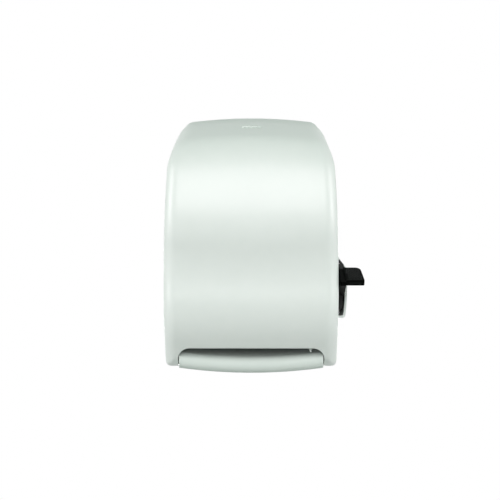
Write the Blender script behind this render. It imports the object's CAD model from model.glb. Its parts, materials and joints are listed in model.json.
import json
import math

import bmesh
import bpy
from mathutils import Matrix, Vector


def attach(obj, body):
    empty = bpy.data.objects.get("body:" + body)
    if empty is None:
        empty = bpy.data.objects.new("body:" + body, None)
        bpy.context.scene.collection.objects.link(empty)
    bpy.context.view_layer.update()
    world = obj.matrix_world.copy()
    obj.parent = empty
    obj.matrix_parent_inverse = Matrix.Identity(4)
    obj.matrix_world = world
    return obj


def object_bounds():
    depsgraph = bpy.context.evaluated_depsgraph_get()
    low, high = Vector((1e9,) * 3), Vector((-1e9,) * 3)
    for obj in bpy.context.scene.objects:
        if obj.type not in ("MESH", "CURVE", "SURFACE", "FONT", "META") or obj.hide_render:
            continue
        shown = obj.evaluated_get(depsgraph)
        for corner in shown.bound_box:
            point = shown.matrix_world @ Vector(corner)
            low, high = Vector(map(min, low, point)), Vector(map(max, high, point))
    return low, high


# Lever paper towel dispenser: finishes for the CAD solids, four fine pieces, camera and light.
# Places and sizes of forms are in millimetres, as in the CAD, and spot() turns them into metres.

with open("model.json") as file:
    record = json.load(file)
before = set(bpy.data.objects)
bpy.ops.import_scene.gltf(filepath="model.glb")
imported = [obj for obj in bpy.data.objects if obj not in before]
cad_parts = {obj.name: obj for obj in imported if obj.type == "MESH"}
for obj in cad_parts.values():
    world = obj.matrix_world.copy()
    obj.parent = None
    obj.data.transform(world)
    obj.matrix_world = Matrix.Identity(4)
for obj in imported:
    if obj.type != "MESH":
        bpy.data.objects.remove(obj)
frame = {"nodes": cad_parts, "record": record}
cad_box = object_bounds()
MM = 0.001
MIDDLE_DEPTH = 117.0        # halfway between the wall and the front


def spot(x, depth, height):
    """A point given in millimetres: right, forward from the wall, up."""
    return Vector((x * MM, -depth * MM, height * MM))


def add_object(name, data):
    """A new object, linked to the scene."""
    obj = bpy.data.objects.new(name, data)
    bpy.context.scene.collection.objects.link(obj)
    return obj


# Shader nodes

def grey(value):
    return (value, value, value, 1.0)


def set_sockets(tree, node, sockets):
    """Give a node's inputs their values, or link them to another node's outputs."""
    for key, value in sockets.items():
        if isinstance(value, bpy.types.NodeSocket):
            tree.links.new(value, node.inputs[key])
        else:
            node.inputs[key].default_value = value


def add_node(tree, kind, sockets=None, **settings):
    """A new shader node with its inputs and its settings."""
    node = tree.nodes.new("ShaderNode" + kind)
    for key, value in settings.items():
        setattr(node, key, value)
    set_sockets(tree, node, sockets or {})
    return node


def start_material(name):
    """A new material, its node tree and its Principled shader."""
    material = bpy.data.materials.new(name)
    material.use_nodes = True
    tree = material.node_tree
    return material, tree, tree.nodes["Principled BSDF"]


def two_tones(tree, pattern, dark, light, start=0.0, end=1.0):
    """A colour that goes from dark to light as a pattern's value goes from start to end."""
    node = add_node(tree, "ValToRGB", {"Fac": pattern})
    low, high = node.color_ramp.elements
    low.position, high.position = start, end
    low.color, high.color = (*dark, 1.0), (*light, 1.0)
    return node.outputs["Color"]


def uneven_gloss(tree, pattern, rough, spread, start=0.0, end=1.0):
    """A roughness that a pattern moves up and down by a share of itself."""
    node = add_node(tree, "MapRange", {"Value": pattern, "From Min": start, "From Max": end,
                                       "To Min": rough * (1 - spread), "To Max": rough * (1 + spread)})
    return node.outputs["Result"]


def relief(tree, pattern, depth):
    """A bump of the given depth in metres."""
    node = add_node(tree, "Bump", {"Height": pattern, "Strength": 1.0, "Distance": depth})
    return node.outputs["Normal"]


# Materials

def plastic(name, light, dark, rough, grain, grain_depth, patch=0.03, coat=0.0, sheen=0.0, shine=0.5):
    """Moulded plastic: faint colour patches, a fine grain and uneven gloss.

    The sizes of the grain and the patches and the depth of the grain are in metres.
    """
    material, tree, shader = start_material(name)
    place = add_node(tree, "TexCoord").outputs["Object"]
    cloud = add_node(tree, "TexNoise", {"Vector": place, "Scale": 1 / patch, "Detail": 3.0,
                                        "Roughness": 0.55}).outputs["Fac"]
    grains = add_node(tree, "TexNoise", {"Vector": place, "Scale": 1 / grain,
                                         "Detail": 2.0}).outputs["Fac"]
    set_sockets(tree, shader, {
        "Base Color": two_tones(tree, cloud, dark, light, start=0.3, end=0.7),
        "Roughness": uneven_gloss(tree, cloud, rough, spread=0.08, start=0.25, end=0.75),
        "Normal": relief(tree, grains, grain_depth),
        "Coat Weight": coat,
        "Coat Roughness": 0.12,
        "Sheen Weight": sheen,
        "Specular IOR Level": shine,
    })
    return material


def metal(name, base, rough):
    """Metal with fine scratches drawn along X."""
    line_scale = (60.0, 2600.0, 2600.0)     # long along X and fine across it
    line_depth, line_shade = 0.00001, 0.78
    material, tree, shader = start_material(name)
    place = add_node(tree, "TexCoord").outputs["Object"]
    stretched = add_node(tree, "Mapping", {"Vector": place, "Scale": line_scale}).outputs["Vector"]
    lines = add_node(tree, "TexNoise", {"Vector": stretched, "Scale": 1.0,
                                        "Detail": 4.0}).outputs["Fac"]
    set_sockets(tree, shader, {
        "Base Color": two_tones(tree, lines, [c * line_shade for c in base], base),
        "Roughness": uneven_gloss(tree, lines, rough, spread=0.3),
        "Normal": relief(tree, lines, line_depth),
        "Metallic": 1.0,
    })
    return material


# One finish for each material slot of the record
FINISHES = {
    "cover_white": plastic("pearl white cover", (0.79, 0.865, 0.81), (0.778, 0.856, 0.80), rough=0.42,
                           grain=0.0009, grain_depth=0.000012, patch=0.02, coat=0.05, shine=0.9),
    "housing_white": plastic("satin white housing", (0.80, 0.87, 0.82), (0.785, 0.855, 0.805),
                             rough=0.48, grain=0.0008, grain_depth=0.00003),
    "lever_black": plastic("black lever", (0.003, 0.0036, 0.0032), (0.002, 0.0025, 0.0022), rough=0.4,
                           grain=0.0006, grain_depth=0.00002, shine=0.015),
    "frame_grey": plastic("grey frame", (0.045, 0.05, 0.048), (0.036, 0.04, 0.038), rough=0.5,
                          grain=0.0007, grain_depth=0.00004, shine=0.35),
    "steel": metal("brushed steel", (0.60, 0.61, 0.62), rough=0.34),
    "rubber": plastic("rubber", (0.035, 0.035, 0.036), (0.026, 0.026, 0.027), rough=0.75,
                      grain=0.0005, grain_depth=0.00004, sheen=0.2),
    "nylon": plastic("nylon", (0.70, 0.70, 0.65), (0.66, 0.66, 0.61), rough=0.42,
                     grain=0.0008, grain_depth=0.00002),
    "clip_white": plastic("white clip", (0.62, 0.68, 0.64), (0.58, 0.64, 0.60), rough=0.4,
                          grain=0.0006, grain_depth=0.00002),
}
# Nodes that differ a little from the rest of their slot
NODE_FINISHES = {
    "outlet_tray": plastic("pearl white tray", (0.71, 0.80, 0.74), (0.695, 0.785, 0.725), rough=0.5,
                           grain=0.0009, grain_depth=0.000012, patch=0.02, shine=0.35),
    "tear_bar": metal("dark blade steel", (0.10, 0.11, 0.11), rough=0.45),
}
# The paddle's pattern, which catches more light than the black around it
RIDGE_FINISH = plastic("worn black ridges", (0.016, 0.02, 0.018), (0.012, 0.0155, 0.0138), rough=0.35,
                       grain=0.0005, grain_depth=0.00002, shine=0.08)


# CAD solids

def smooth(obj):
    """Smooth shading that keeps the sharper edges sharp."""
    sharp_angle = 30.0
    for other in bpy.context.selected_objects:
        other.select_set(False)
    obj.select_set(True)
    bpy.context.view_layer.objects.active = obj
    bpy.ops.object.shade_smooth_by_angle(angle=math.radians(sharp_angle))
    obj.select_set(False)


def soften(obj, width):
    """A fine round on sharp edges, so that they catch the light as moulded edges do."""
    bevel = obj.modifiers.new("fine edges", "BEVEL")
    bevel.width = width * MM
    bevel.segments = 2
    bevel.limit_method = "ANGLE"
    bevel.angle_limit = math.radians(40.0)
    bevel.harden_normals = True


EDGE_WIDTHS = {"cover_white": 0.4, "lever_black": 0.25, "frame_grey": 0.25}
for row in frame["record"]["subparts"]:
    node, slot = row["node"], row["material_slot"]
    solid = frame["nodes"][node]
    solid.data.materials.clear()
    solid.data.materials.append(NODE_FINISHES.get(node, FINISHES[slot]))
    smooth(solid)
    if slot in EDGE_WIDTHS:
        soften(solid, EDGE_WIDTHS[slot])


# Pieces finer than the CAD solids that carry them

def add_piece(name, form, body, finish):
    """A new piece: a function makes its form, and it rides on a body."""
    mesh = bpy.data.meshes.new(name)
    work = bmesh.new()
    form(work)
    bmesh.ops.recalc_face_normals(work, faces=work.faces)
    work.to_mesh(mesh)
    work.free()
    mesh.materials.append(finish)
    piece = add_object(name, mesh)
    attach(piece, body)


def prism(work, low, high):
    """Closed sides and caps between two outlines with the same number of points."""
    low, high = [[work.verts.new(point) for point in outline] for outline in (low, high)]
    for i in range(len(low)):
        j = (i + 1) % len(low)
        work.faces.new((low[i], low[j], high[j], high[i]))
    work.faces.new(low[::-1])
    work.faces.new(high)


# The CAD lever's paddle
PADDLE_DEPTH, PADDLE_LEVEL = 177.0, -47.0       # centre of its middle plane
PADDLE_SLOPE = math.radians(28.0)               # down to the front
PADDLE_HALF = 20.0                              # half its length along the slope
PADDLE_RISE = 5.25                              # from the middle plane to the upper face
PADDLE_ROOT, PADDLE_LEAN = 148.6, 4.0           # left edge at the back, and its way right to the front
PADDLE_REACH, PADDLE_DRAW = 182.5, 6.0          # right edge at the front, and its way left to the back


def on_paddle(x, along, rise):
    """A point of the paddle: across, forward along its slope, and square to its middle plane."""
    return spot(x, PADDLE_DEPTH + along * math.cos(PADDLE_SLOPE) + rise * math.sin(PADDLE_SLOPE),
                PADDLE_LEVEL - along * math.sin(PADDLE_SLOPE) + rise * math.cos(PADDLE_SLOPE))


def paddle_sides(along):
    """The paddle's left and right edges at a place along its slope."""
    share = (along + PADDLE_HALF) / (2 * PADDLE_HALF)
    return PADDLE_ROOT + PADDLE_LEAN * share, PADDLE_REACH - PADDLE_DRAW * (1 - share)


def knurl(work):
    """Rows of low flat-topped diamonds over the paddle's upper face."""
    pitch, foot, top, height, sunk, margin = 5.6, 2.0, 1.0, 0.8, 0.3, 3.6

    def diamond(x, along, reach, rise):
        return [on_paddle(x + reach * a, along + reach * b, PADDLE_RISE + rise)
                for a, b in ((1, 0), (0, 1), (-1, 0), (0, -1))]

    rows = int(2 * (PADDLE_HALF - margin) / (pitch / 2))
    for row in range(rows + 1):
        along = -PADDLE_HALF + margin + row * pitch / 2
        left, right = paddle_sides(along)
        shift = (row % 2) / 2       # every other row stands half a pitch further right
        first = math.ceil((left + margin) / pitch - shift)
        last = math.floor((right - margin) / pitch - shift)
        for column in range(first, last + 1):
            x = (column + shift) * pitch
            prism(work, diamond(x, along, foot, -sunk), diamond(x, along, top, height))


def paddle_bar(work, left, right, section):
    """A bar across the paddle, with a section given by places along the slope and rises."""
    prism(work, *([on_paddle(x, along, rise) for along, rise in section] for x in (left, right)))


def front_bead(work):
    """A fine line along the middle of the paddle's front face."""
    wide, proud, sunk, inset = 0.55, 0.35, 0.3, 5.0
    left, right = paddle_sides(PADDLE_HALF)
    paddle_bar(work, left + inset, right - inset, [
        (PADDLE_HALF - sunk, wide), (PADDLE_HALF + proud, wide / 2),
        (PADDLE_HALF + proud, -wide / 2), (PADDLE_HALF - sunk, -wide)])


def edge_line(work):
    """A fine raised line along the front edge of the paddle's upper face."""
    wide, proud, sunk, setback, left_inset, right_inset = 0.5, 0.35, 0.3, 1.6, 1.0, 4.0
    left, right = paddle_sides(PADDLE_HALF)
    along = PADDLE_HALF - setback
    paddle_bar(work, left + left_inset, right - right_inset, [
        (along - wide, PADDLE_RISE - sunk), (along - wide / 2, PADDLE_RISE + proud),
        (along + wide / 2, PADDLE_RISE + proud), (along + wide, PADDLE_RISE - sunk)])


def end_tip(work):
    """The pale slanted tip of the tear bar's end clip, as it hangs into the slot."""
    left, right, high, low, wide = 93.6, 98.2, -165.5, -171.3, 1.9
    back, front = 159.4, 160.6
    outline = [(left, high), (left + wide, high), (right, low + wide), (right, low), (right - wide, low)]
    prism(work, *([spot(x, depth, height) for x, height in outline] for depth in (back, front)))


add_piece("paddle_knurl", knurl, "lever", RIDGE_FINISH)
add_piece("paddle_front_bead", front_bead, "lever", RIDGE_FINISH)
add_piece("paddle_edge_line", edge_line, "lever", RIDGE_FINISH)
add_piece("tear_bar_end_tip", end_tip, "chassis", FINISHES["clip_white"])


# Camera, light and backdrop

def face(obj, target, azimuth, elevation, distance):
    """Set an object back from a target, at angles in degrees, and turn it to face the target."""
    azimuth, elevation = math.radians(azimuth), math.radians(elevation)
    back = Vector((math.sin(azimuth) * math.cos(elevation), -math.cos(azimuth) * math.cos(elevation),
                   math.sin(elevation)))
    obj.location = target + back * distance
    obj.rotation_mode = "QUATERNION"
    obj.rotation_quaternion = (-back).to_track_quat("-Z", "Y")


def make_camera():
    """A long lens almost straight ahead and a little above, as in the photograph."""
    data = bpy.data.cameras.new("camera")
    data.lens = 131.3
    data.sensor_width = 36.0
    data.clip_end = 50.0
    camera = add_object("camera", data)
    face(camera, spot(-2.0, MIDDLE_DEPTH, -7.4), azimuth=0.2, elevation=3.0, distance=3.0)
    bpy.context.scene.camera = camera


def make_lamp(name, azimuth, elevation, distance, size, power):
    """A soft box that looks at the object's middle from an angle."""
    data = bpy.data.lights.new(name, "AREA")
    data.shape = "RECTANGLE"
    data.size, data.size_y = size
    data.energy = power
    data.color = (1.0, 0.915, 0.965)
    face(add_object(name, data), spot(0, MIDDLE_DEPTH, 0), azimuth, elevation, distance)


def show_white(tree, output, plain, white):
    """White for the camera and for what mirrors or lets it through, and plain for all other light."""
    rays = add_node(tree, "LightPath").outputs
    seen = rays["Is Camera Ray"]
    for name in ("Is Glossy Ray", "Is Transmission Ray"):
        seen = add_node(tree, "Math", {0: seen, 1: rays[name]}, operation="MAXIMUM").outputs[0]
    mix = add_node(tree, "MixShader", {0: seen, 1: plain, 2: white})
    tree.links.new(mix.outputs[0], output)


def make_world():
    """A dim tinted light from all sides, in front of which the camera sees white."""
    world = bpy.data.worlds.new("studio")
    world.use_nodes = True
    bpy.context.scene.world = world
    tree = world.node_tree
    plain = tree.nodes["Background"]
    set_sockets(tree, plain, {"Color": (0.33, 1.0, 0.63, 1.0), "Strength": 0.13})
    white = add_node(tree, "Background", {"Color": grey(1.0), "Strength": 1.0})
    show_white(tree, tree.nodes["World Output"].inputs["Surface"], plain.outputs[0], white.outputs[0])


def make_floor():
    """A plain pale floor well below the object."""
    half, drop = 4.0, 0.30
    level = cad_box[0].z - drop
    mesh = bpy.data.meshes.new("floor")
    mesh.from_pydata([(-half, -half, level), (half, -half, level), (half, half, level),
                      (-half, half, level)], [], [(0, 1, 2, 3)])
    material, tree, shader = start_material("pale floor")
    set_sockets(tree, shader, {"Base Color": grey(0.55), "Roughness": 0.9})
    white = add_node(tree, "Emission", {"Color": grey(1.0), "Strength": 1.0})
    show_white(tree, tree.nodes["Material Output"].inputs["Surface"], shader.outputs["BSDF"],
               white.outputs["Emission"])
    mesh.materials.append(material)
    add_object("floor", mesh)


make_camera()
make_lamp("key", azimuth=0, elevation=23, distance=2.8, size=(1.7, 2.3), power=44.5)
make_lamp("left", azimuth=-72, elevation=12, distance=2.4, size=(1.0, 1.8), power=29)
make_lamp("right", azimuth=72, elevation=12, distance=2.4, size=(1.0, 1.8), power=27)
make_lamp("back", azimuth=180, elevation=-12, distance=2.8, size=(2.0, 1.0), power=58)
make_world()
make_floor()
bpy.context.scene.view_settings.view_transform = "Standard"
